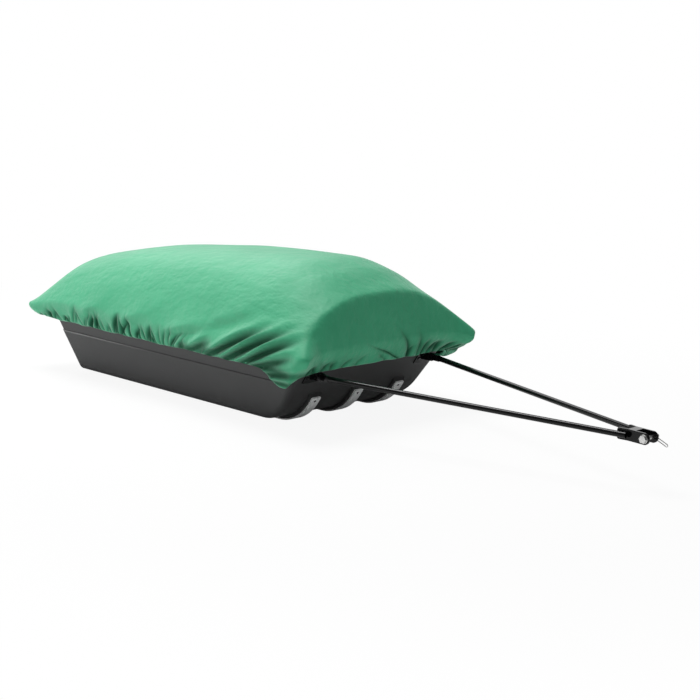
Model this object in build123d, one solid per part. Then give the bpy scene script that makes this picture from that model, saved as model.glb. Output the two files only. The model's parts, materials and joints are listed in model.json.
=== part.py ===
from build123d import *
import os
from math import asin, atan2, cos, hypot, radians, sin, tan

# Utility ice sled, in millimetres: a moulded tub on three keels with wear strips, a V-shaped tow bar
# that pitches on two brackets, a clevis with pin and clip, and a fabric cover with an elastic hem.
# While it is modelled, x runs forward from the rear edge of the tub's flat bottom, y to the left,
# and z up from the ground. At the end everything is moved so that x = 0 is the middle of its length.

# Tub
wall = 5.0
floor_length = 1166.0
floor_half_width = 306.0
tub_height = 233.0
side_flare = 12.0
rear_flare = 27.0
front_radius = 190.0
front_slope = 53.0
edge_radius = 24.0
ledge_height = 155.0
ledge_step = 2.5
lip_width = 22.0
front_lip_width = 4.0
lip_drop = 16.0
lip_corner_radius = 46.0

# Keels and their wear strips
keel_depth = 12.0
keel_width = 52.0
keel_pitch = 200.0
keel_rear = 36.0
keel_end_run = 5.0
keel_tip_margin = 3.0
keel_edge_radius = 6.0
strip_thickness = 5.0
strip_width = 41.0
strip_rear = 86.0
strip_tail = 27.0
strip_corner_radius = 5.0

# Tow bar: pivots, tubes with flattened rear ends, cranked yoke plates
pivot_drop = 48.0
pivot_reach = 48.9
pivot_inset = 41.0
bar_droop = 1.75
bar_reach = 1175.5
bar_diameter = 19.0
bar_wall = 1.6
tab_thickness = 8.0
tab_height = 22.0
tab_length = 34.0
neck_length = 42.0
neck_inset = 0.4
yoke_spread = 41.0
yoke_thickness = 5.0
yoke_height = 36.0
yoke_front_leg = 64.0
yoke_rear_leg = 34.0
yoke_corner_radius = 8.0
weld_flat = 0.5
bridge_thickness = 6.0
bridge_length = 28.0

# Brackets and pivot bolts
bracket_metal = 4.0
bracket_foot = 25.0
bracket_height = 52.0
ear_height = 27.0
bolt_diameter = 10.0
bolt_head_across = 16.0
bolt_head_height = 6.5
bolt_end = 3.0
pivot_clearance = 0.05
tab_side_clearance = 0.4

# Clevis pin and hairpin clip
pin_diameter = 12.7
pin_clearance = 0.1
pin_head_across = 22.0
pin_head_height = 8.0
pin_flange_diameter = 28.0
pin_flange_height = 2.5
pin_tail = 19.0
pin_chamfer = 1.0
clip_wire = 3.2
clip_clearance = 0.2
clip_inset = 10.0
clip_front = 46.0
clip_rear = 18.0
clip_tilt = 21.0

# Cover: a shoulder that overhangs the lip, a crown above it, a skirt drawn in under the lip
cloth = 3.0
cover_side_bulge = 24.0
cover_rear_bulge = 44.0
cover_front_bulge = 70.3
shoulder_rise = 59.0
skirt_drop = 31.0
hem_height = 13.0
hem_gap = 0.3
# Skirt: share of its height from the bottom, share of the overhang at the shoulder
skirt_rings = ((0.0, 0.0), (0.45, 0.75), (1.0, 1.0))
# Crown: share of the cover's length from the rear, rise of the middle above the shoulder
crown_sections = ((0.0, 14.0), (0.06, 130.0), (0.16, 182.0), (0.35, 220.0), (0.62, 250.0),
                  (0.80, 255.0), (0.90, 214.0), (0.95, 155.0), (1.0, 14.0))
# Arch of each crown section: share of the half width, share of the rise
arch_haunch = (0.85, 0.356)
arch_knee = (0.6, 0.75)

# Levels and places that follow from the sizes above
ground_to_tub = keel_depth + strip_thickness
rim_level = ground_to_tub + tub_height
slope = radians(front_slope)
arc_centre_z = ground_to_tub + front_radius
arc_end_x = floor_length + front_radius * sin(slope)
arc_end_z = arc_centre_z - front_radius * cos(slope)
rim_front = arc_end_x + (rim_level - arc_end_z) / tan(slope)
rim_rear = -tub_height * tan(radians(rear_flare))
rim_half_width = floor_half_width + tub_height * tan(radians(side_flare))
lip_front = rim_front + front_lip_width
lip_rear = rim_rear - lip_width
lip_half_width = rim_half_width + lip_width

# A length beyond every piece for cutting, how exactly edges are matched, and blocks that stand on z = 0
far_out = 2 * (floor_length + floor_half_width)
match = 0.01
standing = (Align.CENTER, Align.CENTER, Align.MIN)


def on_front_wall(level):
    """x of the front wall's outer face at a level."""
    return arc_end_x + (level - arc_end_z) / tan(slope)


pivot_z = rim_level - pivot_drop
pivot_x = on_front_wall(pivot_z) + pivot_reach
pivot_y = floor_half_width - pivot_inset


def prism(outline, half_depth):
    """A closed outline in the x-z plane, carried sideways by half_depth to each side."""
    return extrude(make_face(Plane.XZ * outline), amount=half_depth, both=True)


def level_plate(rear, front, half_width, radius, bottom, top):
    """A rounded rectangle in plan between two levels."""
    plan = Pos((rear + front) / 2, 0, bottom) * RectangleRounded(front - rear, 2 * half_width, radius)
    return extrude(plan, amount=top - bottom)


def basin(inset, band, top):
    """The tub's outside with every wall moved in by inset; band moves the sides and the rear in further."""
    side, rear = radians(side_flare), radians(rear_flare)
    floor = ground_to_tub + inset
    radius = front_radius - inset
    bend = (floor_length + radius * sin(slope), arc_centre_z - radius * cos(slope))
    middle = (floor_length + radius * sin(slope / 2), arc_centre_z - radius * cos(slope / 2))
    front_top = (bend[0] + (top - bend[1]) / tan(slope), top)
    rear_shift = (inset + band) / cos(rear)
    rear_bottom = (rear_shift - inset * tan(rear), floor)
    rear_top = (rear_shift - (top - ground_to_tub) * tan(rear), top)
    lengthwise = prism(Line(rear_bottom, (floor_length, floor))
                       + ThreePointArc((floor_length, floor), middle, bend)
                       + Polyline(bend, front_top, rear_top, rear_bottom), far_out)
    narrow = floor_half_width - (inset + band) / cos(side) + inset * tan(side)
    broad = floor_half_width - (inset + band) / cos(side) + (top - ground_to_tub) * tan(side)
    across = make_face(Plane.YZ * Polyline((-narrow, floor), (narrow, floor), (broad, top),
                                           (-broad, top), (-narrow, floor)))
    block = lengthwise & extrude(across, amount=far_out, both=True)
    edges = block.edges().filter_by(lambda e: e.center().Z < top - match)
    edges = edges.filter_by(lambda e: abs(e.center().Y) > match or abs(e.center().X - rear_bottom[0]) < match)
    return fillet(edges, edge_radius - inset)


def stepped_basin(inset, top):
    """The basin with the ledge round its sides and rear: above the ledge the walls stand further in."""
    ledge = ground_to_tub + ledge_height - inset
    above = Pos(0, 0, ledge) * Box(2 * far_out, far_out, far_out, align=standing)
    return (basin(inset, 0, top) - above) + (basin(inset, ledge_step, top) & above)


def keel_band(inner, outer, rear, tail, end_run, half_width):
    """A band that follows the bottom and the upturned front, between two depths below the tub's surface."""
    def at(depth, angle, along):
        radius = front_radius + depth
        return (floor_length + radius * sin(angle) + along * cos(angle),
                arc_centre_z - radius * cos(angle) + along * sin(angle))

    rear_inner = (rear - end_run, ground_to_tub - inner)
    rear_outer = (rear, ground_to_tub - outer)
    outline = (Line(rear_outer, at(outer, 0, 0))
               + ThreePointArc(at(outer, 0, 0), at(outer, slope / 2, 0), at(outer, slope, 0))
               + Polyline(at(outer, slope, 0), at(outer, slope, tail), at(inner, slope, tail + end_run),
                          at(inner, slope, 0))
               + ThreePointArc(at(inner, slope, 0), at(inner, slope / 2, 0), at(inner, 0, 0))
               + Polyline(at(inner, 0, 0), rear_inner, rear_outer))
    return prism(outline, half_width)


def keel(inset):
    """One keel at y = 0, rooted inside the wall; an inset gives its groove, cut right through the wall."""
    root = -2 * wall if inset else -wall / 2
    return keel_band(root, keel_depth - inset, keel_rear + inset, strip_tail + keel_tip_margin - inset,
                     keel_end_run, keel_width / 2 - inset)


def make_tub():
    """Flared shell with a rolled lip, and keels moulded hollow in its bottom and front."""
    lip = level_plate(lip_rear, lip_front, lip_half_width, lip_corner_radius, rim_level - lip_drop, rim_level)
    lip -= level_plate(lip_rear + wall, lip_front - wall, lip_half_width - wall, lip_corner_radius - wall,
                       rim_level - lip_drop, rim_level - wall)
    tub = stepped_basin(0, rim_level) + lip
    for row in (-1, 0, 1):
        ridge = keel(0)
        low_edges = ridge.edges().filter_by(GeomType.LINE).filter_by(Axis.X).group_by(Axis.Z)[0]
        tub += Pos(0, row * keel_pitch, 0) * fillet(low_edges, keel_edge_radius)
    tub -= stepped_basin(wall, rim_level + wall)
    for row in (-1, 0, 1):
        tub -= Pos(0, row * keel_pitch, 0) * keel(wall)
    return tub


def make_strip():
    """A flat wear strip along a keel and round its upturned front, with rounded corners at the tip."""
    strip = keel_band(keel_depth, keel_depth + strip_thickness, strip_rear, strip_tail, 0, strip_width / 2)
    tip = strip.edges().filter_by(lambda e: abs(e.length - strip_thickness) < match).group_by(Axis.Z)[-1]
    return fillet(tip, strip_corner_radius)


tab_gap = tab_thickness + 2 * tab_side_clearance
ear_outer = tab_gap / 2 + bracket_metal
wall_normal = (sin(slope), -cos(slope))


def make_bracket():
    """Foot plate on the sloping front wall with two ears that hold the pivot bolt, about y = 0."""
    middle = pivot_z - ear_height / 4
    foot_plane = Plane(origin=(on_front_wall(middle), 0, middle), x_dir=(0, 1, 0),
                       z_dir=(wall_normal[0], 0, wall_normal[1]))
    foot_width = 2 * (ear_outer + bracket_foot)
    foot_plan = foot_plane * RectangleRounded(foot_width, bracket_height, bracket_metal)
    foot = extrude(foot_plan, amount=bracket_metal)
    half = ear_height / 2
    low = pivot_z - half
    high = pivot_z + half
    back = ((pivot_x, high), (on_front_wall(high), high), (on_front_wall(low), low), (pivot_x, low))
    outline = Polyline(*back) + ThreePointArc((pivot_x, low), (pivot_x + half, pivot_z), (pivot_x, high))
    ears = prism(outline, ear_outer) - prism(outline, tab_gap / 2)
    bore = Pos(pivot_x, 0, pivot_z) * Rot(90, 0, 0) * Cylinder(bolt_diameter / 2 + pivot_clearance, far_out)
    return foot + ears - bore


def hex_head(across, height):
    """A hexagon of the given width across its flats, standing on z = 0."""
    return extrude(RegularPolygon(across / 2, 6, major_radius=False), amount=height)


def make_pivot_bolt():
    """Bolt along y about y = 0: head on the left ear, nut and the end of the shank on the right one."""
    shank = Cylinder(bolt_diameter / 2, 2 * ear_outer + bolt_head_height + bolt_end, align=standing)
    nut = Pos(0, 0, ear_outer) * hex_head(bolt_head_across, bolt_head_height)
    bolt = Pos(0, 0, -ear_outer) * shank + nut + mirror(nut, about=Plane.XY)
    return Pos(pivot_x, 0, pivot_z) * Rot(90, 0, 0) * bolt


# The tow bar is laid out flat: x along it from the pivots, y to the left; then it is tilted by its droop.
plate_y = yoke_spread / 2
kink_x = bar_reach - yoke_front_leg
weld_offset = yoke_thickness / 2 + bar_diameter / 2 - weld_flat
kink_run = kink_x - tab_length
kink_rise = pivot_y - plate_y
bar_angle = atan2(kink_rise, kink_run) - asin(weld_offset / hypot(kink_run, kink_rise))
bar_along = (cos(bar_angle), -sin(bar_angle))
bar_across = (sin(bar_angle), cos(bar_angle))
bar_length = kink_run * bar_along[0] - kink_rise * bar_along[1]
drawbar_place = Pos(pivot_x, 0, pivot_z) * Rot(0, bar_droop, 0)


def make_yoke_plate():
    """Cranked plate on the left: its rear leg, with rounded corners, lies along the tube, its front leg straight
    ahead."""
    half = yoke_thickness / 2
    mitre = half * tan(bar_angle / 2)
    nose = bar_reach + yoke_height / 2
    rear = (kink_x - yoke_rear_leg * bar_along[0], plate_y - yoke_rear_leg * bar_along[1])
    plan = make_face(Polyline((nose, plate_y - half), (nose, plate_y + half),
                              (kink_x + mitre, plate_y + half),
                              (rear[0] + half * bar_across[0], rear[1] + half * bar_across[1]),
                              (rear[0] - half * bar_across[0], rear[1] - half * bar_across[1]),
                              (kink_x - mitre, plate_y - half), (nose, plate_y - half)))
    blank = extrude(plan, amount=yoke_height / 2, both=True)
    side = Plane.XZ * SlotCenterPoint((bar_reach - yoke_front_leg, 0), (bar_reach, 0), yoke_height)
    square_rear = Pos(kink_x - yoke_rear_leg, 0, 0) * Box(2 * yoke_rear_leg, far_out, yoke_height)
    plate = blank & (extrude(side, amount=far_out, both=True) + square_rear)
    rear_corners = plate.edges().filter_by(lambda e: abs(e.length - yoke_thickness) < match).group_by(Axis.X)[0]
    bore = Rot(90, 0, 0) * Cylinder(pin_diameter / 2 + pin_clearance, far_out)
    return fillet(rear_corners, yoke_corner_radius) - Pos(bar_reach, plate_y, 0) * bore


def make_tow_bar():
    """Left tube: a flat tab with a pivot hole, a neck that swells to the round, and the tube to the yoke."""
    blank = Plane.XZ * SlotCenterPoint((tab_length, 0), (0, 0), tab_height)
    ahead = Box(far_out, far_out, far_out, align=(Align.MIN, Align.CENTER, Align.CENTER))
    tab = extrude(blank, amount=tab_thickness / 2, both=True) - Pos(tab_length, 0, 0) * ahead
    tab = Pos(0, pivot_y, 0) * tab
    flat_end = Plane(origin=(tab_length, pivot_y, 0), x_dir=(0, 0, 1), z_dir=(1, 0, 0))
    round_start = (tab_length + neck_length * bar_along[0], pivot_y + neck_length * bar_along[1], 0)
    round_end = Plane(origin=round_start, x_dir=(0, 0, 1), z_dir=(bar_along[0], bar_along[1], 0))
    neck = loft([flat_end * Ellipse(tab_height / 2 - neck_inset, tab_thickness / 2 - neck_inset),
                 round_end * Circle(bar_diameter / 2)])
    tube_length = bar_length - neck_length
    tube = extrude(round_end * Circle(bar_diameter / 2), amount=tube_length)
    hollow = extrude(round_end * Circle(bar_diameter / 2 - bar_wall), amount=tube_length)
    bore = Pos(0, pivot_y, 0) * Rot(90, 0, 0) * Cylinder(bolt_diameter / 2 + pivot_clearance, 2 * tab_height)
    return tab + neck + tube - hollow - bore - make_yoke_plate()


def make_yoke_bridge():
    """Web between the two front legs, just ahead of the crank, flush with their upper edges."""
    inside = yoke_spread - yoke_thickness
    mitre = yoke_thickness / 2 * tan(bar_angle / 2)
    return Pos(kink_x + mitre, 0, yoke_height / 2) * Box(bridge_length, inside, bridge_thickness,
                                                         align=(Align.MIN, Align.CENTER, Align.MAX))


clip_y = plate_y + yoke_thickness / 2 + pin_tail - clip_inset
clip_plane = Plane(origin=(bar_reach, clip_y, 0), z_dir=(0, -1, 0),
                   x_dir=(cos(radians(clip_tilt)), 0, -sin(radians(clip_tilt))))


def make_hitch_pin():
    """Pin across the clevis: flanged hexagon head on the right, a cross hole for the clip on the left."""
    outer = plate_y + yoke_thickness / 2
    under_head = -outer - pin_flange_height
    shank = Pos(0, 0, -outer) * Cylinder(pin_diameter / 2, 2 * outer + pin_tail, align=standing)
    shank = chamfer(shank.edges().group_by(Axis.Z)[-1], pin_chamfer)
    flange = Pos(0, 0, under_head) * Cylinder(pin_flange_diameter / 2, pin_flange_height, align=standing)
    head = Pos(0, 0, under_head - pin_head_height) * hex_head(pin_head_across, pin_head_height)
    pin = Pos(bar_reach, 0, 0) * Rot(-90, 0, 0) * (shank + flange + head)
    along_clip = Plane(origin=clip_plane.origin, z_dir=clip_plane.x_dir)
    cross_hole = extrude(along_clip * Circle(clip_wire / 2 + clip_clearance), amount=pin_diameter, both=True)
    return pin - cross_hole


def make_clip():
    """Hairpin: one leg through the pin's cross hole, a bend in front, the other leg close under the pin."""
    legs = pin_diameter / 2 + clip_wire / 2 + clip_clearance
    bend = ((clip_front, 0), (clip_front + legs / 2, -legs / 2), (clip_front, -legs))
    path = clip_plane * (Line((-clip_rear, 0), bend[0]) + ThreePointArc(*bend)
                         + Line(bend[2], (-pin_diameter / 2, -legs)))
    return sweep((path ^ 0) * Circle(clip_wire / 2), path=path)


shoulder_level = rim_level + shoulder_rise
cover_rear = lip_rear - cover_rear_bulge
cover_front = lip_front + cover_front_bulge
cover_half_width = lip_half_width + cover_side_bulge
hem_top = rim_level - lip_drop - hem_gap
skirt_bottom = rim_level - skirt_drop


def crown_section(x, half_width, rise):
    """Closed arch across the cover at one place: shoulder line below, three arcs above."""
    def at(share, height):
        return (share * half_width, shoulder_level + height * rise)

    haunch, knee = arch_haunch, arch_knee
    arch = (Line(at(-1, 0), at(1, 0))
            + ThreePointArc(at(1, 0), at(*haunch), at(*knee))
            + ThreePointArc(at(*knee), at(0, 1), at(-knee[0], knee[1]))
            + ThreePointArc(at(-knee[0], knee[1]), at(-haunch[0], haunch[1]), at(-1, 0)))
    return make_face(Plane(origin=(x, 0, 0), x_dir=(0, 1, 0), z_dir=(1, 0, 0)) * arch)


def cover_ring(level, swell, inset):
    """Rectangle in plan round the cover at a level; swell goes from 0 at the lip to 1 at the shoulder."""
    tuck = cloth + hem_gap
    rear = lip_rear - tuck - swell * (cover_rear_bulge - tuck) + inset
    front = lip_front + tuck + swell * (cover_front_bulge - tuck) - inset
    half_width = lip_half_width + tuck + swell * (cover_side_bulge - tuck) - inset
    return Pos((rear + front) / 2, 0, level) * Rectangle(front - rear, 2 * half_width)


def cover_form(inset):
    """The cover's outside, or with an inset its inside: a crown on its shoulder, and the skirt below."""
    rear, front = cover_rear + inset, cover_front - inset
    crown = loft([crown_section(rear + share * (front - rear), cover_half_width - inset, rise - inset)
                  for share, rise in crown_sections], ruled=True)
    rings = [cover_ring(skirt_bottom + share * (shoulder_level - skirt_bottom), swell, inset)
             for share, swell in skirt_rings]
    for lower, upper in zip(rings, rings[1:]):
        crown += loft([lower, upper], ruled=True)
    return crown


def make_cover():
    """Cloth shell over the load, open below."""
    return cover_form(0) - cover_form(cloth)


def make_hem():
    """Elastic hem drawn in under the lip, close to the tub's wall."""
    ring = level_plate(lip_rear, lip_front, lip_half_width, lip_corner_radius, hem_top - hem_height, hem_top)
    return ring - stepped_basin(-hem_gap, rim_level)


pieces = {"tub": make_tub(),
          "cover": make_cover(),
          "cover_hem": make_hem(),
          "wear_strip_centre": make_strip(),
          "yoke_bridge": drawbar_place * make_yoke_bridge(),
          "hitch_pin": drawbar_place * make_hitch_pin(),
          "hairpin_clip": drawbar_place * make_clip()}
paired = {"wear_strip": Pos(0, keel_pitch, 0) * make_strip(),
          "hitch_bracket": Pos(0, pivot_y, 0) * make_bracket(),
          "pivot_bolt": Pos(0, pivot_y, 0) * make_pivot_bolt(),
          "tow_bar": drawbar_place * make_tow_bar(),
          "yoke_plate": drawbar_place * make_yoke_plate()}
for name, piece in paired.items():
    pieces[name + "_left"] = piece
    pieces[name + "_right"] = mirror(piece, about=Plane.XZ)

boxes = [piece.bounding_box() for piece in pieces.values()]
middle_x = (min(box.min.X for box in boxes) + max(box.max.X for box in boxes)) / 2
os.makedirs("parts", exist_ok=True)
for node, piece in pieces.items():
    export_step(Pos(-middle_x, 0, 0) * piece, f"parts/{node}.step")
print("middle of the length at", middle_x, "of the modelling frame")
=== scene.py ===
import json
import math

import bmesh
import bpy
import numpy as np
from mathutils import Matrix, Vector


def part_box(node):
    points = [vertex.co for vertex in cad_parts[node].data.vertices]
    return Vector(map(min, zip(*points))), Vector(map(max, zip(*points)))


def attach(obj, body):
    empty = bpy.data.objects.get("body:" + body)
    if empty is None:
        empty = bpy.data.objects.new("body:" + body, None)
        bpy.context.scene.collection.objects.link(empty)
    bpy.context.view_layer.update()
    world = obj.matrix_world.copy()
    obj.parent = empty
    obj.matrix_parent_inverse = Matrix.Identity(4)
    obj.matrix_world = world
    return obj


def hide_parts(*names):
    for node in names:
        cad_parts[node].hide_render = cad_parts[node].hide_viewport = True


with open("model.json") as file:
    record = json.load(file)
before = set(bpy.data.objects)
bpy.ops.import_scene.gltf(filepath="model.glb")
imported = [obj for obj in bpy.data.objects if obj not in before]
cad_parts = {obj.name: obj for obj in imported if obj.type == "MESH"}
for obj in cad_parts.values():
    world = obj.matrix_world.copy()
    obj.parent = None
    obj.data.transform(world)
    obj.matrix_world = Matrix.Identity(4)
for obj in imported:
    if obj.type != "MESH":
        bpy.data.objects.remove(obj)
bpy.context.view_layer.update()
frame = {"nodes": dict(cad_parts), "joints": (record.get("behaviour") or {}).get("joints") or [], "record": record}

# Places that come from the frame, in metres
tub_low, tub_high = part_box("tub")
cover_low, cover_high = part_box("cover")
bracket_low, bracket_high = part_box("hitch_bracket_left")
bracket_y = (bracket_low[1] + bracket_high[1]) / 2
pivot = Vector(frame["joints"][0]["pos_m"])
rim_level = tub_high[2]
ledge_drop = 0.078
ledge_level = rim_level - ledge_drop
front_slope = math.radians(53)
wall_out = Vector((math.sin(front_slope), 0, -math.cos(front_slope)))
wall_up = Vector((math.cos(front_slope), 0, math.sin(front_slope)))

# Cover: crown above the shoulder line, front panel, skirt down to its lower edge, tuck in to the hem
cover_columns = 1200
crown_rings = 44
skirt_rings = 32
tuck_rings = 4
corner_points = 17
shoulder_rise = 0.059
shoulder_level = rim_level + shoulder_rise
shoulder_radius = 0.045
crown_inset = 0.013
crown_half_width = cover_high[1] - crown_inset
crown_power = 3.0
crown_ring_power = 1.5
spine_inset_rear = 0.36
spine_inset_front = 0.22
# Crown: share of the length from the rear, rise of the middle line above the shoulder
crown_profile = np.array([(0.0, 0.0), (0.03, 0.102), (0.06, 0.145), (0.14, 0.175),
                          (0.25, 0.204), (0.40, 0.227), (0.55, 0.2465), (0.70, 0.254),
                          (0.80, 0.2555), (0.88, 0.229), (0.94, 0.178), (1.0, 0.125)])
panel_inset = 0.004
panel_hollow = 0.022
panel_hollow_edge = 0.30
panel_slope_middle = 5.0
panel_slope_right = 2.0
panel_slope_zone = (0.20, 0.36)
ridge_softness = 0.017
edge_overhang_side = 0.0083
edge_overhang_rear = 0.010
edge_overhang_front = 0.0154
edge_level_side = 0.227
edge_level_front = 0.225
edge_corner_radius = 0.050
edge_wave = 0.0028
edge_wave_step = 0.011
edge_seed = 21
hem_inset = 0.012
hem_front_inset = 0.005
hem_corner_radius = 0.044
skirt_lean = 0.030
skirt_lean_out = 0.012
# Corners pulled out into ears: sides in x and y, pull along x, y and z
ears = np.array([(-1, -1, -0.048, -0.014, -0.036), (1, -1, 0.012, -0.010, -0.012),
                 (1, 1, 0.030, 0.024, -0.020), (-1, 1, -0.048, 0.014, -0.036)])
ear_spread = 0.11
ear_below = 0.95
# Pouches that hang down at the front corners
pouch_drop_right = 0.053
pouch_drop_left = 0.042
pouch_inset = 0.0496
pouch_reach_rear = 0.090
pouch_reach_front = 0.049
pouch_power = 2.6
bracket_relief = 0.010
bracket_spread = 0.060
bracket_calm = 0.9
lip_clearance = 0.0035
lip_blend = 0.0015
lip_zone = ((rim_level - 0.026, rim_level - 0.018), (rim_level + 0.008, rim_level + 0.025))
level_zone = (0.008, 0.050)

# Long pleats on a side: foot behind the front of the lip, its level, slope, run along the side, depth
pleats = np.array([(0.655, 0.236, 0.45, 0.110, 0.0080), (0.600, 0.235, 0.48, 0.180, 0.0130),
                   (0.545, 0.236, 0.45, 0.150, 0.0070), (0.491, 0.232, 0.465, 0.380, 0.0170),
                   (0.385, 0.235, 0.465, 0.380, 0.0200), (0.292, 0.233, 0.450, 0.340, 0.0200),
                   (0.225, 0.235, 0.310, 0.270, 0.0150), (0.189, 0.237, 0.155, 0.220, 0.0100),
                   (0.153, 0.219, 0.175, 0.230, 0.0120), (0.112, 0.198, 0.120, 0.150, 0.0100)])
pleat_width = 0.0090
pleat_valley = 0.0200
pleat_above = 1.9
pleat_below = 0.80
pleat_side = (0.25, 0.32)
pleats_end = (0.56, 0.68)
crest_power = 1.5
valley_share = 0.5
fold_width = (0.75, 0.75)
fold_start = (-0.030, 0.005)
fold_fade = 0.40
hollow_share = 0.95
# Fold depth at which the painted shade in the folds is full
hollow_full = 0.0120
# The folds of the left side lie a little further back than those of the right
fold_shifts = ((-1, 0.0), (1, 0.04))
# Broad slack folds on a side: foot behind the front of the lip, its level, slope, run, depth, width
slack_folds = np.array([(0.74, 0.285, 0.20, 0.36, 0.0080, 0.016), (1.02, 0.280, 0.30, 0.24, 0.0050, 0.018),
                        (1.30, 0.275, 0.35, 0.22, 0.0050, 0.018), (0.50, 0.340, 0.30, 0.32, 0.0060, 0.020)])
slack_side = (0.20, 0.30)
slack_valley = 1.6
slack_start = 0.3
# Creases of the front panel: place across at the lower edge, slant, bend, reach up, depth, width
panel_creases = np.array([
    (0.085, -2.1, 0.0, 0.090, 0.0110, 0.0070), (0.135, -0.25, -2.4, 0.140, 0.0100, 0.0075),
    (0.178, 0.05, -1.5, 0.120, 0.0080, 0.0080), (0.128, 0.35, 0.0, 0.055, 0.0110, 0.0070),
    (0.020, -1.2, 0.0, 0.050, 0.0050, 0.0080), (-0.120, 0.9, 0.0, 0.050, 0.0050, 0.0090),
    (0.205, 0.20, 0.0, 0.075, 0.0140, 0.0090), (0.238, 0.45, 0.0, 0.065, 0.0130, 0.0085),
    (0.268, 0.10, 0.0, 0.070, 0.0140, 0.0090), (0.300, 0.60, 0.0, 0.075, 0.0140, 0.0090),
    (0.330, 0.90, 0.0, 0.080, 0.0140, 0.0095), (0.355, 1.20, 0.0, 0.070, 0.0130, 0.0090),
    (-0.335, 0.50, 0.0, 0.050, 0.0110, 0.0090), (-0.300, -0.30, 0.0, 0.040, 0.0100, 0.0080),
    (-0.262, 0.60, 0.0, 0.045, 0.0110, 0.0090), (-0.225, 0.10, 0.0, 0.035, 0.0090, 0.0080),
    (-0.180, 1.10, 0.0, 0.040, 0.0080, 0.0080)])
panel_blend = 0.02
crease_width = (0.7, 0.8)
crease_fade = 0.25
# Gathers round the lower edge, denser in places on the sides: place behind the lip's front, spread, strength
gather_groups = np.array([(1.385, 0.040, 0.8), (1.200, 0.055, 1.0), (1.030, 0.070, 0.9), (0.850, 0.110, 1.2),
                          (0.660, 0.050, 0.9), (1.500, 0.050, 0.7), (1.590, 0.030, 0.9)])
gather_count = 230
gather_seed = 11
gather_jitter = 0.40
gather_slant = 0.75
gather_reach = (0.030, 0.095)
gather_width = (0.0050, 0.0095)
gather_depth = (0.0050, 0.0140)
gather_least = 0.30
gather_swell = 0.55
gather_swell_width = 3
gather_panel_half = 0.27
gather_panel_start = (0, 0.1)
gather_panel_calm = 0.75
gather_pleat_side = (0.28, 0.34)
gather_pleat_calm = 0.9
# Slow swells: depth, the two spacings, slants and seeds, and where they begin and end above the lower edge
swell_depth = 0.0035
swell_period = 4.0
swell_spacings = (0.16, 0.22)
swell_slants = (1.2, 0.5)
swell_seeds = (8, 9)
swell_start = (0.02, 0.10)
swell_end = (0.20, 0.36)

# Hem casing: radius, sides of its ring, columns to a pucker, how the puckers wander, least size and swell
hem_casing_radius = 0.0055
casing_sides = 12
pucker_columns = 5
pucker_wander = 1.5
pucker_step = 0.01
pucker_seed = 12
pucker_size = (0.72, 0.36)

# Screws: sizes are radius and height
head_sides = 24
head_rings = 7
strip_thickness = 0.005
strip_screw_inset = 0.017
strip_screw_size = (0.0045, 0.0012)
pivot_reach = 0.0489
bracket_metal = 0.004
bracket_screw_drop = 0.0085
bracket_screw_offset = 0.021
bracket_screw_size = (0.0070, 0.0040)

# Colours of the finishes, with the two ends of a tone that varies
white = (1, 1, 1, 1)
cloth_tones = ((0.038, 0.385, 0.192, 1), (0.052, 0.435, 0.222, 1))
# Painted shade: the dark colour laid into the depths of the cover's folds
cloth_painted_fold_shade = (0.008, 0.080, 0.038, 1)
cloth_sheen = (0.92, 1.0, 0.96, 1)
tub_tones = ((0.033, 0.033, 0.034, 1), (0.042, 0.042, 0.043, 1))
# Pale scuffs on the tub, and the painted highlight under its ledge
tub_scuff_and_highlight = (0.20, 0.20, 0.20, 1)
strip_tones = ((0.88, 0.88, 0.885, 1), (0.95, 0.95, 0.955, 1))
strip_rub = (0.52, 0.52, 0.525, 1)
coat_tones = ((0.003, 0.003, 0.0033, 1), (0.025, 0.024, 0.023, 1))
zinc_tones = ((0.60, 0.60, 0.59, 1), (0.78, 0.78, 0.77, 1))
thread_pitch = 0.0022
# Painted highlight, a pale line under the tub's ledge: how it starts and ends in height, and how it fades towards
# the front
ledge_highlight_start = (ledge_level - 0.0050, ledge_level - 0.0035)
ledge_highlight_end = (ledge_level, ledge_level + 0.001)
ledge_highlight_fade = (tub_low[0] + 0.1, tub_low[0] + 0.9)

# Camera
camera_azimuth = math.radians(48)
camera_elevation = math.radians(11)
camera_distance = 5.7387
camera_target = pivot + Vector((-0.1522, 0, 0.0383))
camera_lens = 82.86
camera_sensor = 36.0

# Floor, world and lamps: each lamp has its place, its aim, its size and its power
floor_reach = 30.0
floor_colour = (0.90, 0.90, 0.90, 1)
floor_white = 0.91
floor_mirrored = 0.05
floor_squeeze = (0.6, 1, 1)
floor_fade = (0.9, 2.2)
world_dim = 0.22
backdrop_bright = 1.4
backdrop_top = (0.50, 0.64)
backdrop_front = (-0.55, -0.35)
backdrop_right = (-0.30, -0.05)
lamps = {"key": ((-1.55, -0.50, 5.20), (-0.55, 0, 0.35), 2.6, 250),
         "rear": ((-3.8, 1.2, 3.6), (0.8, 0.1, 0.2), 2.4, 65),
         "side": ((-3.6, -4.0, 0.60), (-0.6, -0.2, 0.2), 2.4, 60)}


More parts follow.
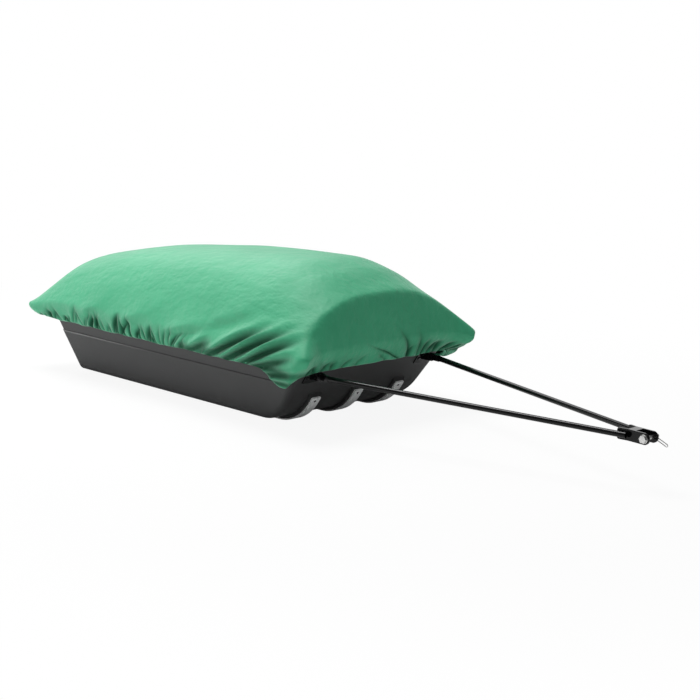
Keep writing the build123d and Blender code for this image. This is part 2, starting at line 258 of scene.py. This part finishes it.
class Wire:
    """A socket of a material's nodes: arithmetic on it adds Math nodes, and make() adds any other node."""

    def __init__(self, tree, socket=None):
        self.tree = tree
        self.socket = socket

    def make(self, kind, settings=None, inputs=None, output=0):
        node = self.tree.nodes.new(kind)
        for name, value in (settings or {}).items():
            setattr(node, name, value)
        for name, value in (inputs or {}).items():
            if isinstance(value, Wire):
                self.tree.links.new(value.socket, node.inputs[name])
            else:
                node.inputs[name].default_value = value
        return Wire(self.tree, node.outputs[output] if node.outputs else None)

    def math(self, operation, *values):
        return self.make("ShaderNodeMath", {"operation": operation}, dict(enumerate(values)))

    def __add__(self, other):
        return self.math("ADD", self, other)

    def __rsub__(self, other):
        return self.math("SUBTRACT", other, self)

    def __mul__(self, other):
        return self.math("MULTIPLY", self, other)

    __radd__ = __add__
    __rmul__ = __mul__

    def between(self, low, high):
        """0 below low, 1 above high, smooth in between."""
        return self.make("ShaderNodeMapRange", {"interpolation_type": "SMOOTHSTEP"},
                         {"Value": self, "From Min": low, "From Max": high})

    def blend(self, first, second):
        """First colour where this is 0, second where it is 1, by the Mix node's colour sockets."""
        inputs = {"Factor": self, 6: first, 7: second}
        return self.make("ShaderNodeMix", {"data_type": "RGBA"}, inputs, output=2)

    def parts(self, vector):
        """The three numbers of a vector."""
        ports = self.make("ShaderNodeSeparateXYZ", None, {"Vector": vector}).socket.node.outputs
        return [Wire(self.tree, port) for port in ports]

    def stretched(self, place, scale):
        return self.make("ShaderNodeMapping", None, {"Vector": place, "Scale": scale})

    def noise(self, place, scale, detail, roughness):
        inputs = {"Vector": place, "Scale": scale, "Detail": detail, "Roughness": roughness}
        return self.make("ShaderNodeTexNoise", None, inputs)

    def bump(self, height, strength, distance, normal=None):
        inputs = {"Height": height, "Strength": strength, "Distance": distance}
        if normal is not None:
            inputs["Normal"] = normal
        return self.make("ShaderNodeBump", None, inputs)


def new_material(name):
    """A material with a Principled shader: the material, a starting wire, the shader and object places."""
    material = bpy.data.materials.new(name)
    material.use_nodes = True
    tree = material.node_tree
    shader = tree.nodes["Principled BSDF"]
    wire = Wire(tree)
    place = wire.make("ShaderNodeTexCoord", None, None, output=3)
    return material, wire, shader, place


def feed(wire, shader, **values):
    """Links wires to the shader's sockets and sets plain values on them."""
    for name, value in values.items():
        socket = shader.inputs[name.replace("_", " ")]
        if isinstance(value, Wire):
            wire.tree.links.new(value.socket, socket)
        else:
            socket.default_value = value


def cover_cloth():
    """Woven, lightly coated polyester: a lattice of threads in relief, soft blotches and crumples, a pale
    sheen, and painted shade in the depths of the folds: a darker colour and a dull dark shader mixed in."""
    material, wire, shader, place = new_material("green_cloth")
    waves = [wire.math("SINE", axis * (2 * math.pi / thread_pitch)) for axis in wire.parts(place)]
    weave = waves[0] * waves[1] + waves[1] * waves[2] + waves[2] * waves[0]
    blotch = wire.noise(place, scale=3.5, detail=4.0, roughness=0.55)
    crumple = wire.noise(wire.stretched(place, (1.0, 1.6, 1.0)), scale=26.0, detail=5.0, roughness=0.6)
    drape = wire.noise(wire.stretched(place, (0.8, 1.4, 1.4)), scale=8.0, detail=3.0, roughness=0.55)
    # Painted shade: the fold depth darkens the colour and mixes in a dull dark shader
    hollow = wire.make("ShaderNodeAttribute", {"attribute_name": "hollow"}, None, output=2)
    tone = (blotch * 0.7 + crumple * 0.3).between(0.30, 0.70)
    colour = (hollow * 0.88).blend(tone.blend(*cloth_tones), cloth_painted_fold_shade)
    relief = wire.bump(drape, strength=0.22, distance=0.040)
    relief = wire.bump(crumple, strength=0.34, distance=0.010, normal=relief)
    relief = wire.bump(weave, strength=0.12, distance=0.0006, normal=relief)
    feed(wire, shader, Base_Color=colour, Roughness=0.48 + 0.14 * crumple, Specular_IOR_Level=0.34,
         Sheen_Weight=0.42, Sheen_Roughness=0.45, Sheen_Tint=cloth_sheen, Normal=relief)
    # Painted shade: a dull dark shader for the depths of the folds
    deep = wire.make("ShaderNodeBsdfPrincipled", None,
                     {"Base Color": cloth_painted_fold_shade, "Roughness": 0.8, "Specular IOR Level": 0.1})
    lit = Wire(wire.tree, shader.outputs[0])
    both = wire.make("ShaderNodeMixShader", None, {0: hollow * 0.85, 1: lit, 2: deep})
    wire.tree.links.new(both.socket, wire.tree.nodes["Material Output"].inputs["Surface"])
    return material


def tub_plastic():
    """Moulded polyethylene: fine pebbled skin, cloudy gloss, pale scuffs along the sled, and a painted
    highlight just under the ledge.
    """
    material, wire, shader, place = new_material("tub_plastic")
    cloud = wire.noise(place, scale=5.0, detail=4.0, roughness=0.6)
    pebble = wire.noise(place, scale=900.0, detail=2.0, roughness=0.5)
    scuff = wire.noise(wire.stretched(place, (3.0, 60.0, 60.0)), scale=6.0, detail=3.0, roughness=0.6)
    scuff = scuff.between(0.66, 0.80)
    tone = (cloud * 0.8 + pebble * 0.2).between(0.30, 0.72)
    along, _, height = wire.parts(place)
    # Painted highlight: a pale band just under the ledge, fading towards the front
    ledge_highlight = height.between(*ledge_highlight_start) * (1 - height.between(*ledge_highlight_end))
    ledge_highlight = ledge_highlight * (1 - along.between(*ledge_highlight_fade)) * cloud.between(0.25, 0.50)
    # pale holds both the real scuffs and the painted ledge highlight
    pale = wire.math("MAXIMUM", scuff * 0.30, ledge_highlight)
    feed(wire, shader, Base_Color=pale.blend(tone.blend(*tub_tones), tub_scuff_and_highlight),
         Roughness=0.44 + 0.16 * cloud + 0.1 * scuff, Specular_IOR_Level=0.36,
         Normal=wire.bump(pebble, strength=0.10, distance=0.0006))
    return material


def strip_plastic():
    """Light grey wear plastic: faint runs along its length and a few darker rubs."""
    material, wire, shader, place = new_material("strip_grey")
    runs = wire.noise(wire.stretched(place, (2.0, 160.0, 20.0)), scale=4.0, detail=3.0, roughness=0.6)
    rub = wire.noise(place, scale=22.0, detail=4.0, roughness=0.6).between(0.58, 0.74)
    colour = (rub * 0.25).blend(runs.between(0.3, 0.7).blend(*strip_tones), strip_rub)
    feed(wire, shader, Base_Color=colour, Roughness=0.42 + 0.2 * runs, Specular_IOR_Level=0.4,
         Normal=wire.bump(runs, strength=0.12, distance=0.0004))
    return material


def black_coat():
    """Satin black powder coat: orange-peel relief and small worn specks."""
    material, wire, shader, place = new_material("black_steel")
    peel = wire.noise(place, scale=420.0, detail=2.0, roughness=0.5)
    dull = wire.noise(place, scale=14.0, detail=4.0, roughness=0.6)
    speck = wire.noise(place, scale=120.0, detail=2.0, roughness=0.5).between(0.70, 0.78)
    feed(wire, shader, Base_Color=(speck * 0.6).blend(*coat_tones), Roughness=0.10 + 0.08 * dull,
         Specular_IOR_Level=0.26, Normal=wire.bump(peel, strength=0.06, distance=0.0004))
    return material


def zinc_plate():
    """Bright zinc: pale metal with cloudy gloss and fine turning marks."""
    material, wire, shader, place = new_material("zinc_steel")
    cloud = wire.noise(place, scale=90.0, detail=4.0, roughness=0.6)
    marks = wire.noise(wire.stretched(place, (30.0, 1200.0, 30.0)), scale=2.0, detail=2.0, roughness=0.5)
    feed(wire, shader, Base_Color=cloud.between(0.3, 0.7).blend(*zinc_tones), Metallic=1.0,
         Roughness=0.20 + 0.20 * cloud, Normal=wire.bump(marks, strength=0.10, distance=0.0003))
    return material


def surface(name, points, closed=False, uv=None, values=None):
    """A mesh object from a grid of points (rows, columns, 3); closed joins the last column to the first, and
    values are numbers by name, one for every point."""
    rows, columns = points.shape[:2]
    number = np.arange(rows * columns).reshape(rows, columns)
    if closed:
        number = np.concatenate([number, number[:, :1]], axis=1)
    corners = [number[:-1, :-1], number[:-1, 1:], number[1:, 1:], number[1:, :-1]]
    quads = np.stack(corners, axis=-1).reshape(-1, 4)
    mesh = bpy.data.meshes.new(name)
    mesh.from_pydata(points.reshape(-1, 3), [], quads)
    if uv is not None:
        layer = mesh.uv_layers.new(name="UVMap")
        layer.data.foreach_set("uv", uv.reshape(-1, 2)[quads.reshape(-1)].reshape(-1))
    for title, numbers in (values or {}).items():
        mesh.attributes.new(title, "FLOAT", "POINT").data.foreach_set("value", numbers.reshape(-1))
    mesh.polygons.foreach_set("use_smooth", np.ones(len(quads), dtype=bool))
    merged = bmesh.new()
    merged.from_mesh(mesh)
    bmesh.ops.remove_doubles(merged, verts=merged.verts, dist=1e-6)
    merged.to_mesh(mesh)
    merged.free()
    mesh.update()
    piece = bpy.data.objects.new(name, mesh)
    bpy.context.scene.collection.objects.link(piece)
    return piece


def unit(vectors):
    return vectors / np.linalg.norm(vectors, axis=-1, keepdims=True)


def smooth_curve(at, knots, values):
    """Cubic pieces through the knots; a slope is the harmonic mean of the slopes of the chords beside it."""
    gaps = np.diff(knots)
    chords = np.diff(values) / gaps
    product = chords[:-1] * chords[1:]
    total = np.where(product > 0, chords[:-1] + chords[1:], 1.0)
    slopes = np.concatenate([chords[:1], np.where(product > 0, 2 * product / total, 0.0), chords[-1:]])
    span = np.clip(np.searchsorted(knots, at, side="right") - 1, 0, len(gaps) - 1)
    t = np.clip((at - knots[span]) / gaps[span], 0, 1)
    return (values[span] * (1 + 2 * t) * (1 - t) ** 2 + values[span + 1] * t ** 2 * (3 - 2 * t)
            + gaps[span] * (slopes[span] * t * (1 - t) ** 2 - slopes[span + 1] * t ** 2 * (1 - t)))


def ease(value, low, high):
    """0 below low, 1 above high, a smooth cubic in between."""
    t = np.clip((value - low) / (high - low), 0, 1)
    return t * t * (3 - 2 * t)


def wander(at, spacing, period, seed):
    """Smooth random values from -1 to 1 along a closed line: random levels every spacing, eased between."""
    count = max(4, int(round(period / spacing)))
    levels = np.random.default_rng(seed).uniform(-1, 1, count)
    place = np.mod(at, period) / period * count
    low = np.floor(place).astype(int)
    share = ease(place - low, 0, 1)
    return levels[low % count] * (1 - share) + levels[(low + 1) % count] * share


def rounded_rectangle(shares, rear, front, half_width, radius):
    """Points at shares of the way round a rectangle with round corners, followed at constant speed from the
    middle of the rear edge, along the right side first."""
    turn = np.linspace(0, math.pi / 2, corner_points)
    x = [np.array([rear])]
    y = [np.array([0.0])]
    for at_front, side, start in ((False, -1, math.pi), (True, -1, 1.5 * math.pi), (True, 1, 0.0),
                                  (False, 1, 0.5 * math.pi)):
        centre = front - radius if at_front else rear + radius
        x.append(centre + radius * np.cos(start + turn))
        y.append(side * (half_width - radius) + radius * np.sin(start + turn))
    x = np.concatenate(x + x[:1])
    y = np.concatenate(y + y[:1])
    run = np.concatenate([[0], np.cumsum(np.hypot(np.diff(x), np.diff(y)))])
    return np.interp(shares * run[-1], run, x), np.interp(shares * run[-1], run, y)


def grid_normals(points):
    """Outward unit normals of a grid that closes along its columns: the cross product of its directions."""
    along = np.roll(points, -1, axis=1) - np.roll(points, 1, axis=1)
    down = np.gradient(points, axis=0)
    normal = np.cross(down, along)
    return normal / np.maximum(np.linalg.norm(normal, axis=-1, keepdims=True), 1e-9)


def near_brackets(y):
    """1 at the brackets, falling off to both sides as the exponential of less a fourth power."""
    return np.exp(-((np.abs(y) - bracket_y) / bracket_spread) ** 4)


def panel_foot(y):
    """x of the front panel at the shoulder: drawn back in the middle, furthest forward at the corners."""
    hollow = panel_hollow * (1 - ease(np.abs(y), panel_hollow_edge, crown_half_width))
    return cover_high[0] - panel_inset - hollow


def crown_height(x, y):
    """The lower of two surfaces, with a rounded ridge where they meet: the dome, whose rise is multiplied by
    one less a power of the share of the half width, and the steep flat front panel."""
    share = np.clip((x - cover_low[0]) / (cover_high[0] - cover_low[0]), 0, 1)
    rise = smooth_curve(share, crown_profile[:, 0], crown_profile[:, 1])
    dome = shoulder_level + rise * (1 - np.clip(np.abs(y) / crown_half_width, 0, 1) ** crown_power)
    slope = panel_slope_middle + (panel_slope_right - panel_slope_middle) * ease(-y, *panel_slope_zone)
    panel = shoulder_level + slope * (panel_foot(y) - x)
    softness = ridge_softness * (1 + (y / crown_half_width) ** 4)
    return -softness * np.logaddexp(-dome / softness, -panel / softness)


def crown_grid(shares):
    """The crown: each column runs straight, seen from above, from the middle line out to the shoulder."""
    front = cover_high[0] - panel_inset
    edge_x, edge_y = rounded_rectangle(shares, cover_low[0], front, crown_half_width, shoulder_radius)
    spine_x = np.interp(edge_x, (cover_low[0], front),
                        (cover_low[0] + spine_inset_rear, cover_high[0] - spine_inset_front))
    edge_x = np.minimum(edge_x, panel_foot(edge_y))
    out = 1 - (1 - np.linspace(0, 1, crown_rings)[:, None]) ** crown_ring_power
    x = spine_x + out * (edge_x - spine_x)
    y = out * edge_y
    return np.stack([x, y, crown_height(x, y)], axis=-1)


def corner_pulls(crown):
    """How far the ears pull each point of the crown: bell curves of the distance from the four corners."""
    pulls = np.zeros_like(crown)
    for side_x, side_y, *reach in ears:
        corner_x = cover_high[0] - panel_inset if side_x > 0 else cover_low[0]
        away = np.hypot(crown[..., 0] - corner_x, crown[..., 1] - side_y * crown_half_width)
        pulls += np.exp(-(away / ear_spread) ** 2)[..., None] * np.array(reach)
    return pulls


def lower_edges(shares):
    """The skirt's lower edge outside the lip and the hem inside it: rounded rectangles that give way at the
    brackets, wave a little and hang down in bell-shaped pouches at the front corners."""
    x, y = rounded_rectangle(shares, tub_low[0] - edge_overhang_rear, tub_high[0] + edge_overhang_front,
                             tub_high[1] + edge_overhang_side, edge_corner_radius)
    at_bracket = near_brackets(y) * ease(x, tub_high[0], x.max())
    x = x - bracket_relief * at_bracket
    pouch_x = x - tub_high[0] + pouch_inset
    pouch_reach = np.where(pouch_x < 0, pouch_reach_rear, pouch_reach_front)
    pouch = np.exp(-np.abs(pouch_x / pouch_reach) ** pouch_power
                   - ((np.abs(y) - tub_high[1]) / pouch_reach_front) ** 2)
    forward = ease(x, tub_high[0] - pouch_inset, tub_high[0])
    drop = np.where(y < 0, pouch_drop_right, pouch_drop_left)
    z = edge_level_side + (edge_level_front - edge_level_side) * forward - drop * pouch
    z = z + edge_wave * wander(shares, edge_wave_step, 1.0, edge_seed) * (1 - at_bracket)
    hem_x, hem_y = rounded_rectangle(shares, tub_low[0] + hem_front_inset, tub_high[0] - hem_front_inset,
                                     tub_high[1] - hem_inset, hem_corner_radius)
    return np.stack([x, y, z], axis=-1), np.stack([hem_x, hem_y, z], axis=-1)


def cover_base():
    """The cover without its folds. Each column runs over the crown to the shoulder, then along a cubic curve
    that leaves the shoulder in the crown's direction and comes down to the lower edge outside the lip, and
    last along half a sine wave in under the lip to the hem."""
    shares = np.arange(cover_columns) / cover_columns
    crown = crown_grid(shares)
    low, hem = lower_edges(shares)
    pulls = corner_pulls(crown)
    crown = crown + pulls
    edge = crown[-1]
    leave = edge + unit(edge - crown[-2]) * skirt_lean
    arrive = low + unit(low - hem) * skirt_lean_out + np.array([0, 0, skirt_lean]) + ear_below * pulls[-1]
    t = np.linspace(0, 1, skirt_rings + 1)[1:, None, None]
    skirt = edge * (1 - t) ** 3 + leave * 3 * t * (1 - t) ** 2 + arrive * 3 * t ** 2 * (1 - t) + low * t ** 3
    s = np.linspace(0, 1, tuck_rings + 1)[1:, None, None]
    tuck = low + (hem - low) * s - np.array([0, 0, hem_casing_radius]) * np.sin(math.pi * s)
    return np.concatenate([crown, skirt, tuck])


def crease(along, up, slant, bend, reach, width):
    """Share of a sharp valley that starts on the lower edge and leans and bends as it goes up: the
    exponential of less the distance from its line in widths, widening and fading out towards its reach."""
    wide = width * (crease_width[0] + crease_width[1] * up / reach)
    off = np.abs(along - slant * up - bend * up ** 2) / wide
    return np.exp(-off) * (1 - ease(up, crease_fade * reach, reach))


def long_fold(along, up, slope, run, width, valley):
    """Shares of a ridge that climbs along the side, gentle above its crest and steep below it, and of a
    valley under it, bell curves of the distance across that grow wider and fade out along the run."""
    across = (up - slope * along) / math.hypot(1, slope)
    wide = fold_width[0] + fold_width[1] * np.clip(along / run, 0, 1)
    fade = (1 - ease(along, fold_fade * run, run)) * ease(along, *fold_start)
    ridge_width = width * wide * np.where(across > 0, pleat_above, pleat_below)
    ridge = np.exp(-np.abs(across / ridge_width) ** crest_power)
    hollow = np.exp(-((across + valley * wide) / (valley_share * valley * wide)) ** 2)
    return ridge * fade, hollow * fade


def edge_distances(points):
    """Distances up from the lower edge along the columns, the edge itself, the distances round it and its
    whole length."""
    lowest = crown_rings + skirt_rings - 1
    steps = np.linalg.norm(np.diff(points[:lowest + 1], axis=0), axis=-1)
    above = np.cumsum(steps[::-1], axis=0)[::-1]
    up = np.concatenate([above, np.zeros((tuck_rings + 1, cover_columns))])
    low = points[lowest]
    run = np.concatenate([[0], np.cumsum(np.linalg.norm(np.diff(low, axis=0), axis=-1))])
    return up, low, run, run[-1] + np.linalg.norm(low[0] - low[-1])


def gathers(up, low, run, around):
    """Heights and depths of the gathers all round the lower edge: creases with a bell-shaped swell over each,
    in loose groups on the sides, few on the front panel and among the pleats."""
    random = np.random.default_rng(gather_seed)
    jitter = random.uniform(-gather_jitter, gather_jitter, gather_count)
    places = (np.arange(gather_count) + jitter) * around / gather_count
    slants = random.uniform(-gather_slant, gather_slant, gather_count)
    reaches = random.uniform(*gather_reach, gather_count)
    widths = random.uniform(*gather_width, gather_count)
    depths = random.uniform(*gather_depth, gather_count)
    place_x = np.interp(places, run, low[:, 0])
    place_y = np.interp(places, run, low[:, 1])
    offset = (tub_high[0] - place_x[:, None] - gather_groups[:, 0]) / gather_groups[:, 1]
    strength = gather_least + (gather_groups[:, 2] * np.exp(-offset ** 2)).sum(axis=1)
    on_panel = np.exp(-(place_y / gather_panel_half) ** 6) * ease(place_x, *gather_panel_start)
    pleated = ease(np.abs(place_y), *gather_pleat_side) * (1 - ease(tub_high[0] - place_x, *pleats_end))
    depths *= strength * (1 - gather_panel_calm * on_panel) * (1 - gather_pleat_calm * pleated)
    heights = np.zeros(up.shape)
    hollows = np.zeros(up.shape)
    for place, slant, reach, depth, width in zip(places, slants, reaches, depths, widths):
        along = np.mod(run - place + around / 2, around) - around / 2
        share = depth * crease(along, up, slant, 0.0, reach, width)
        bell = np.exp(-(along / (gather_swell_width * width)) ** 2)
        heights += gather_swell * depth * bell * (1 - ease(up, 0, reach)) - share
        hollows += share
    return heights, hollows


def side_folds(x, y, z):
    """Heights and depths of the long pleats and slack folds on both sides, drawn to the front corners."""
    behind = tub_high[0] - x
    heights = np.zeros(x.shape)
    hollows = np.zeros(x.shape)
    for side, shift in fold_shifts:
        on_side = ease(side * y, *pleat_side)
        for foot, level, slope, length, depth in pleats:
            along = foot + shift - behind
            ridge, hollow = long_fold(along, z - level, slope, length, pleat_width, pleat_valley)
            heights += on_side * depth * (ridge - hollow_share * hollow)
            hollows += on_side * depth * hollow
        on_side = ease(side * y, *slack_side)
        for foot, level, slope, length, depth, width in slack_folds:
            along = foot + shift - behind
            ridge, hollow = long_fold(along, z - level, slope, length, width, slack_valley * width)
            heights += on_side * ease(along, 0.0, slack_start * length) * depth * (ridge - hollow)
    return heights, hollows


def panel_folds(y, up):
    """Depths of the creases that run up the front panel from its lower edge."""
    hollows = np.zeros(y.shape)
    for place, slant, bend, reach, depth, width in panel_creases:
        hollows += depth * crease(y - place, up, slant, bend, reach, width)
    return hollows


def slow_swells(x, y, up):
    """Heights of the slack cloth's slow swells: the product of two wandering lines, in a band above the
    lower edge."""
    along = wander(x - swell_slants[0] * up, swell_spacings[0], swell_period, swell_seeds[0])
    across = wander(y + swell_slants[1] * x, swell_spacings[1], swell_period, swell_seeds[1])
    return swell_depth * along * across * ease(up, *swell_start) * (1 - ease(up, *swell_end))


def fold_heights(points):
    """How far the folds stand out of the smooth cover, how deep each point lies in a fold from 0 to 1, and
    the distances up from the lower edge and round it, for the points of its grid."""
    x, y, z = np.moveaxis(points, -1, 0)
    up, low, run, around = edge_distances(points)
    on_front = ease(x, tub_high[0] - panel_blend, tub_high[0] + panel_blend)
    gather_heights, gather_hollows = gathers(up, low, run, around)
    side_heights, side_hollows = side_folds(x, y, z)
    panel_hollows = on_front * panel_folds(y, up)
    heights = gather_heights + side_heights - panel_hollows + slow_swells(x, y, up)
    heights = np.minimum(heights, heights * (1 - bracket_calm * near_brackets(y) * on_front))
    hollows = gather_hollows + side_hollows + panel_hollows
    return heights, np.clip(hollows / hollow_full, 0, 1), up, run


def clear_of_lip(points):
    """Moves the cloth out, where it passes the lip, to a small clearance from the lip's outer face."""
    x, y, z = np.moveaxis(points, -1, 0)
    beyond_x = np.maximum(x - tub_high[0], tub_low[0] - x)
    beyond_y = np.abs(y) - tub_high[1]
    short = np.logaddexp(0, (lip_clearance - np.maximum(beyond_x, beyond_y)) / lip_blend) * lip_blend
    short *= ease(z, *lip_zone[0]) * (1 - ease(z, *lip_zone[1]))
    sideways = beyond_y > beyond_x
    y = y + np.where(sideways, np.sign(y) * short, 0)
    x = x + np.where(sideways, 0, np.sign(x - (tub_low[0] + tub_high[0]) / 2) * short)
    return np.stack([x, y, z], axis=-1)


def make_cover(material):
    """The folded cover: its smooth form is moved along its normals by the folds' heights, level near the
    lower edge, and less and less from there to the hem."""
    base = cover_base()
    heights, hollow, up, run = fold_heights(base)
    direction = grid_normals(base)
    direction[..., 2] *= ease(up, *level_zone)
    sunk = np.ones((len(base), 1, 1))
    sunk[-tuck_rings:, 0, 0] = np.linspace(1, 0, tuck_rings + 1)[1:]
    points = clear_of_lip(base + direction * heights[..., None] * sunk)
    uv = np.stack([np.broadcast_to(run, up.shape), up], axis=-1)
    # The depth in the folds is kept as the hollow attribute, which the cloth uses for painted shade
    piece = surface("cover_cloth", points, closed=True, uv=uv, values={"hollow": hollow})
    piece.data.materials.append(material)
    return piece, points


def make_hem_casing(material, hem):
    """A puckered tube with the elastic, carried round the hem: a circle whose size swells between gathers."""
    along = unit(np.roll(hem, -1, axis=0) - np.roll(hem, 1, axis=0))
    side = unit(np.cross(along, (0, 0, 1.0)))
    rise = np.cross(side, along)
    angle = np.linspace(0, 2 * math.pi, casing_sides + 1)[:-1]
    run = np.arange(len(hem)) / len(hem)
    stray = pucker_wander * wander(run, pucker_step, 1.0, pucker_seed)
    pucker = np.abs(np.sin(math.pi * (len(hem) / pucker_columns * run + stray)))
    radius = hem_casing_radius * (pucker_size[0] + pucker_size[1] * pucker)[:, None, None]
    ring = np.cos(angle)[None, :, None] * side[:, None] + np.sin(angle)[None, :, None] * rise[:, None]
    tube = hem[:, None] + radius * ring
    tube = np.concatenate([tube, tube[:1]])
    piece = surface("cover_hem_casing", tube, closed=True)
    piece.data.materials.append(material)
    return piece


def make_head(name, centre, radius, height):
    """A low round screw head on the front wall: rings from its rim to its middle along a quarter ellipse."""
    side = wall_out.cross(Vector((0, 1, 0))).normalized()
    turn = np.linspace(0, 2 * math.pi, head_sides + 1)[:-1]
    rise = np.linspace(0, math.pi / 2, head_rings)[:, None, None]
    ring = np.cos(turn)[:, None] * np.array(side) + np.sin(turn)[:, None] * np.array(wall_out.cross(side))
    points = np.array(centre) + radius * np.cos(rise) * ring + height * np.sin(rise) * np.array(wall_out)
    piece = surface(name, points, closed=True)
    piece.data.materials.append(materials["black_steel"])
    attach(piece, "sled")


def make_screws():
    """One screw near the tip of each wear strip, and two on the foot of each bracket."""
    for name in ("right", "centre", "left"):
        low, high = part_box(f"wear_strip_{name}")
        tip = Vector((high[0], (low[1] + high[1]) / 2, high[2] - strip_thickness * math.cos(front_slope)))
        make_head(f"strip_screw_{name}", tip - strip_screw_inset * wall_up, *strip_screw_size)
    foot = pivot + Vector((-pivot_reach, 0, 0)) - bracket_screw_drop * wall_up + bracket_metal * wall_out
    for name, side in (("right", -1), ("left", 1)):
        for place, offset in (("inner", -bracket_screw_offset), ("outer", bracket_screw_offset)):
            centre = foot + Vector((0, side * (bracket_y + offset), 0))
            make_head(f"bracket_screw_{name}_{place}", centre, *bracket_screw_size)


def seen_by(wire, camera, mirrored):
    """A share of white that depends on what looks: the camera, or a reflection or clear material."""
    ports = wire.make("ShaderNodeLightPath").socket.node.outputs
    glossy, clear = Wire(wire.tree, ports["Is Glossy Ray"]), Wire(wire.tree, ports["Is Transmission Ray"])
    return wire.math("MAXIMUM", Wire(wire.tree, ports["Is Camera Ray"]) * camera,
                     wire.math("MAXIMUM", glossy, clear) * mirrored)


def make_stage():
    """A wide pale floor, white from a few metres off; near the sled the camera sees its shadow in it."""
    x, y = np.meshgrid(np.linspace(-floor_reach, floor_reach, 3), np.linspace(-floor_reach, floor_reach, 3))
    floor = surface("floor", np.stack([x, y, np.zeros_like(x)], axis=-1))
    material = bpy.data.materials.new("floor_white")
    material.use_nodes = True
    tree = material.node_tree
    tree.nodes.clear()
    wire = Wire(tree)
    place = wire.stretched(wire.make("ShaderNodeTexCoord", None, None, output=3), floor_squeeze)
    away = wire.make("ShaderNodeVectorMath", {"operation": "LENGTH"}, {0: place}, output=1)
    matte = wire.make("ShaderNodeBsdfDiffuse", None, {"Color": floor_colour})
    glow = wire.make("ShaderNodeEmission", None, {"Color": white, "Strength": 1.0})
    white_share = seen_by(wire, floor_white + (1 - floor_white) * away.between(*floor_fade), floor_mirrored)
    mix = wire.make("ShaderNodeMixShader", None, {0: white_share, 1: matte, 2: glow})
    wire.make("ShaderNodeOutputMaterial", None, {"Surface": mix})
    floor.data.materials.append(material)


def make_world():
    """Even grey light all round, white where the camera looks straight at it; reflections show a low bright
    backdrop behind the sled."""
    world = bpy.data.worlds.new("studio")
    bpy.context.scene.world = world
    world.use_nodes = True
    tree = world.node_tree
    tree.nodes.clear()
    wire = Wire(tree)
    ahead, left, above = wire.parts(wire.make("ShaderNodeTexCoord"))
    backdrop = (1 - above.between(*backdrop_top)) * (1 - ahead.between(*backdrop_front))
    backdrop = backdrop * left.between(*backdrop_right)
    dim, plain, bright = [wire.make("ShaderNodeBackground", None, {"Color": white, "Strength": strength})
                          for strength in (world_dim, 1.0, backdrop_bright)]
    mix = wire.make("ShaderNodeMixShader", None, {0: seen_by(wire, 0.0, 1.0) * backdrop, 1: dim, 2: bright})
    mix = wire.make("ShaderNodeMixShader", None, {0: seen_by(wire, 1.0, 0.0), 1: mix, 2: plain})
    wire.make("ShaderNodeOutputWorld", None, {"Surface": mix})


def make_light(name, place, aim, size, power):
    """A square soft light at a place, turned to look at its aim."""
    data = bpy.data.lights.new(name, "AREA")
    data.shape = "SQUARE"
    data.size = size
    data.energy = power
    lamp = bpy.data.objects.new(name, data)
    lamp.location = place
    lamp.rotation_euler = (Vector(aim) - Vector(place)).to_track_quat("-Z", "Y").to_euler()
    bpy.context.scene.collection.objects.link(lamp)


def make_camera():
    """A camera at its distance from the target, in the direction of the azimuth and the elevation."""
    data = bpy.data.cameras.new("camera")
    data.lens = camera_lens
    data.sensor_width = camera_sensor
    camera = bpy.data.objects.new("camera", data)
    back = Vector((math.sin(camera_azimuth) * math.cos(camera_elevation),
                   -math.cos(camera_azimuth) * math.cos(camera_elevation), math.sin(camera_elevation)))
    camera.location = camera_target + camera_distance * back
    camera.rotation_euler = back.to_track_quat("Z", "Y").to_euler()
    bpy.context.scene.collection.objects.link(camera)
    bpy.context.scene.camera = camera


materials = {"green_cloth": cover_cloth(), "tub_plastic": tub_plastic(), "strip_grey": strip_plastic(),
             "black_steel": black_coat(), "zinc_steel": zinc_plate()}
for part in frame["record"]["subparts"]:
    node = frame["nodes"][part["node"]]
    node.data.materials.clear()
    node.data.materials.append(materials[part["material_slot"]])

cover, cover_points = make_cover(materials["green_cloth"])
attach(cover, "sled")
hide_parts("cover")
hem_casing = make_hem_casing(materials["green_cloth"], cover_points[-1])
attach(hem_casing, "sled")
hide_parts("cover_hem")

make_screws()

make_stage()
make_world()
for name, settings in lamps.items():
    make_light(name, *settings)
make_camera()
bpy.context.scene.view_settings.view_transform = "Standard"
